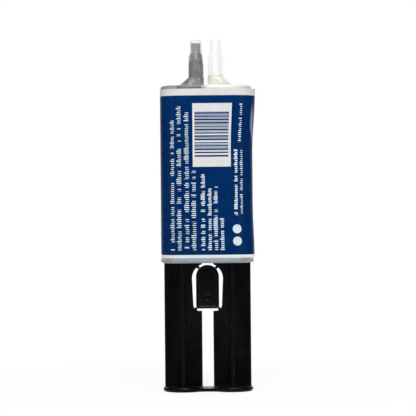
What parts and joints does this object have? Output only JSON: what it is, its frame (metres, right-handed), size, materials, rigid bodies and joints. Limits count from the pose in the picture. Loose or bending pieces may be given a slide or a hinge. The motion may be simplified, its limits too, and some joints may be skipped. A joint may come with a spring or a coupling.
{
  "type": "epoxy syringe",
  "caption": "Twin-barrel adhesive syringe standing on its thumb plate, with a twin-rod plunger, a snap-off reseal stopper and side-by-side nozzles that meter resin and hardener together.",
  "frame": {"origin": "centre of the thumb plate's flat underside, midway between the two barrels' axes", "axes": "+Z along the barrels from the thumb plate to the nozzle tips, +X from the resin's barrel to the hardener's, -Y out of the label's printed face"},
  "size_m": [0.04, 0.028, 0.1511],
  "materials": {
    "natural_plastic": "translucent natural polypropylene, satin",
    "printed_film": "glossy blue printed film with white margins",
    "black_plastic": "black moulded plastic, satin",
    "white_plastic": "white moulded polyethylene, satin",
    "seal_rubber": "dark moulded rubber, matte",
    "grey_resin": "grey filled resin, thick liquid",
    "pale_hardener": "pale hardener, thick liquid"
  },
  "bodies": {
    "barrel": {"twin_barrel": "natural_plastic", "label_sleeve": "printed_film", "resin_charge": "grey_resin", "hardener_charge": "pale_hardener", "resin_in_nozzle": "grey_resin", "hardener_in_nozzle": "pale_hardener"},
    "plunger": {"plunger": "black_plastic", "left_piston": "white_plastic", "right_piston": "white_plastic", "left_seal_ring": "seal_rubber", "right_seal_ring": "seal_rubber"},
    "stopper": {"reseal_stopper": "black_plastic"}
  },
  "joints": [
    {"name": "plunger_slide", "type": "slide", "parent": "barrel", "child": "plunger", "axis": [0, 0, 1], "range_m": [0, 0.0525], "deforming": ["resin_charge", "hardener_charge"]},
    {"name": "stopper_release", "type": "slide", "parent": "plunger", "child": "stopper", "axis": [0, -0.8944, -0.4472], "range_m": [0, 0.1175]}
  ],
  "couplings": [
    {"joint": "stopper_release", "follows": "plunger_slide", "ratio": 2.2361}
  ]
}
